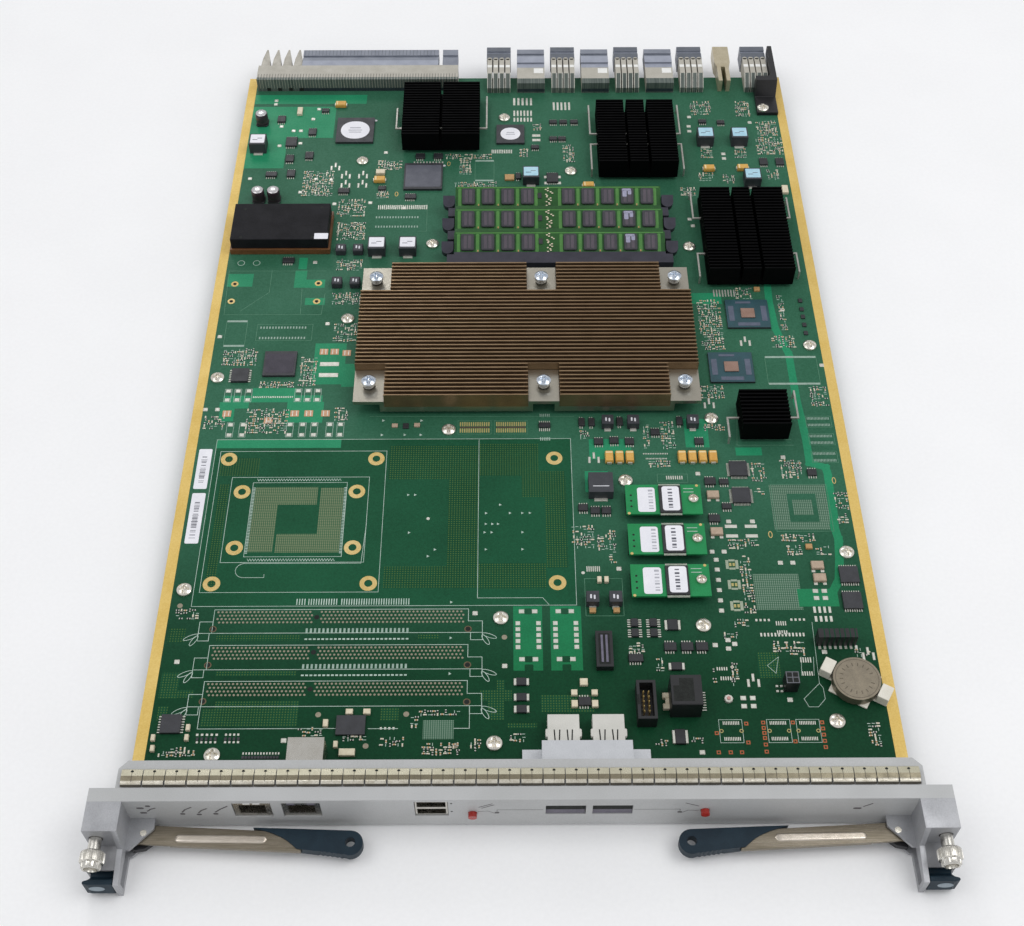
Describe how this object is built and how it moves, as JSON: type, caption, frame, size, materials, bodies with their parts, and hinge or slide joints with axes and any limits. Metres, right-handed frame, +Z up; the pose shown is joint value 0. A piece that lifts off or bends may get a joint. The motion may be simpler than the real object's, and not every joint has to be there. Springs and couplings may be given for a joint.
{
  "type": "supervisor module",
  "caption": "Plug-in network chassis card: a finned, populated circuit board on a tray behind a slim front panel with ports, spring gasket, thumbscrews and swinging ejector levers.",
  "frame": {"origin": "below the middle of the module on the plane it lies on", "axes": "+X right seen from the front panel, +Y towards the backplane connectors, +Z up from the tray"},
  "size_m": [0.3888, 0.5886, 0.0308],
  "materials": {
    "panel_paint": "satin",
    "gasket_metal": "satin",
    "tray_steel": "satin",
    "board_green": "satin",
    "screw_steel": "satin",
    "housing_metal": "satin",
    "lever_steel": "satin",
    "claw_black": "satin",
    "grip_blue": "matt",
    "thumbscrew_steel": "polished",
    "shield_steel": "satin",
    "cage_steel": "satin",
    "receptacle_white": "satin",
    "lens_red": "gloss",
    "wafer_beige": "matt",
    "shroud_grey": "matt",
    "blade_metal": "satin",
    "guide_brass": "satin",
    "guide_black": "satin",
    "sink_nickel": "satin",
    "fin_metal": "satin",
    "cooler_black": "satin",
    "clip_wire": "satin",
    "socket_purple": "matt",
    "memory_green": "satin",
    "memory_chip": "matt",
    "brick_brown": "satin",
    "brick_black": "matt",
    "flash_green": "satin",
    "holder_cream": "satin",
    "cell_steel": "satin",
    "connector_black": "matt",
    "capacitor_orange": "satin",
    "inductor_grey": "matt",
    "chip_black": "matt"
  },
  "bodies": {
    "module": {"front_panel": "panel_paint", "emi_gasket": "gasket_metal", "carrier_tray": "tray_steel", "circuit_board": "board_green", "board_screws": "screw_steel", "console_jack": "shield_steel", "network_jack": "shield_steel", "usb_host_socket": "shield_steel", "flash_port_cage": "cage_steel", "flash_port_sockets": "receptacle_white", "indicator_lenses": "lens_red", "connector_wafers": "wafer_beige", "connector_shrouds": "shroud_grey", "power_blades": "blade_metal", "guide_module": "guide_brass", "guide_block": "guide_black", "processor_heatsink_base": "sink_nickel", "processor_fin_stack": "fin_metal", "heatsink_screws": "screw_steel", "rear_left_heatsink": "cooler_black", "rear_middle_heatsink": "cooler_black", "right_heatsink": "cooler_black", "small_heatsink": "cooler_black", "heatsink_clips": "clip_wire", "memory_sockets": "socket_purple", "memory_boards": "memory_green", "memory_chips": "memory_chip", "power_module_base": "brick_brown", "power_module_plate": "brick_black", "flash_boards": "flash_green", "battery_holder": "holder_cream", "coin_cell": "cell_steel", "service_jack": "connector_black", "box_header": "connector_black", "board_headers": "connector_black", "capacitors": "capacitor_orange", "inductors": "inductor_grey", "chip_packages": "chip_black", "left_ejector_housing": "housing_metal", "left_pivot_pin": "screw_steel", "right_ejector_housing": "housing_metal", "right_pivot_pin": "screw_steel"},
    "left_lever": {"left_lever_arm": "lever_steel", "left_lever_claw": "claw_black", "left_lever_grip": "grip_blue"},
    "left_button": {"left_release_button": "grip_blue"},
    "left_screw_carrier": {"left_screw_washer": "screw_steel"},
    "left_screw": {"left_captive_screw": "thumbscrew_steel"},
    "left_front_latch": {"left_front_memory_latch": "socket_purple"},
    "left_middle_latch": {"left_middle_memory_latch": "socket_purple"},
    "left_rear_latch": {"left_rear_memory_latch": "socket_purple"},
    "right_lever": {"right_lever_arm": "lever_steel", "right_lever_claw": "claw_black", "right_lever_grip": "grip_blue"},
    "right_button": {"right_release_button": "grip_blue"},
    "right_screw_carrier": {"right_screw_washer": "screw_steel"},
    "right_screw": {"right_captive_screw": "thumbscrew_steel"},
    "right_front_latch": {"right_front_memory_latch": "socket_purple"},
    "right_middle_latch": {"right_middle_memory_latch": "socket_purple"},
    "right_rear_latch": {"right_rear_memory_latch": "socket_purple"}
  },
  "joints": [
    {"name": "left_lever_swing", "type": "hinge", "parent": "module", "child": "left_lever", "pos_m": [-0.171, -0.26875, 0.0058], "axis": [0, 0, -1], "range_deg": [-3, 62]},
    {"name": "left_button_press", "type": "slide", "parent": "module", "child": "left_button", "axis": [0, 1, 0], "range_m": [0, 0.003], "stiffness_N_per_m": 900, "springref_m": -0.002},
    {"name": "left_screw_push", "type": "slide", "parent": "module", "child": "left_screw_carrier", "axis": [0, 1, 0], "range_m": [0, 0.006], "stiffness_N_per_m": 600, "springref_m": -0.003},
    {"name": "left_screw_turn", "type": "hinge", "parent": "left_screw_carrier", "child": "left_screw", "pos_m": [-0.1889, -0.27555, 0.0207], "axis": [0, 1, 0], "continuous": true},
    {"name": "left_front_latch_swing", "type": "hinge", "parent": "module", "child": "left_front_latch", "pos_m": [-0.0416, 0.09705, 0.01965], "axis": [0, -0.3746, 0.9272], "range_deg": [0, 28]},
    {"name": "left_middle_latch_swing", "type": "hinge", "parent": "module", "child": "left_middle_latch", "pos_m": [-0.0416, 0.11745, 0.01965], "axis": [0, -0.3746, 0.9272], "range_deg": [0, 28]},
    {"name": "left_rear_latch_swing", "type": "hinge", "parent": "module", "child": "left_rear_latch", "pos_m": [-0.0416, 0.13785, 0.01965], "axis": [0, -0.3746, 0.9272], "range_deg": [0, 28]},
    {"name": "right_lever_swing", "type": "hinge", "parent": "module", "child": "right_lever", "pos_m": [0.171, -0.26875, 0.0058], "axis": [0, 0, 1], "range_deg": [-3, 62]},
    {"name": "right_button_press", "type": "slide", "parent": "module", "child": "right_button", "axis": [0, 1, 0], "range_m": [0, 0.003], "stiffness_N_per_m": 900, "springref_m": -0.002},
    {"name": "right_screw_push", "type": "slide", "parent": "module", "child": "right_screw_carrier", "axis": [0, 1, 0], "range_m": [0, 0.006], "stiffness_N_per_m": 600, "springref_m": -0.003},
    {"name": "right_screw_turn", "type": "hinge", "parent": "right_screw_carrier", "child": "right_screw", "pos_m": [0.1889, -0.27555, 0.0207], "axis": [0, 1, 0], "continuous": true},
    {"name": "right_front_latch_swing", "type": "hinge", "parent": "module", "child": "right_front_latch", "pos_m": [0.0944, 0.09705, 0.01965], "axis": [0, 0.3746, -0.9272], "range_deg": [0, 28]},
    {"name": "right_middle_latch_swing", "type": "hinge", "parent": "module", "child": "right_middle_latch", "pos_m": [0.0944, 0.11745, 0.01965], "axis": [0, 0.3746, -0.9272], "range_deg": [0, 28]},
    {"name": "right_rear_latch_swing", "type": "hinge", "parent": "module", "child": "right_rear_latch", "pos_m": [0.0944, 0.13785, 0.01965], "axis": [0, 0.3746, -0.9272], "range_deg": [0, 28]}
  ]
}
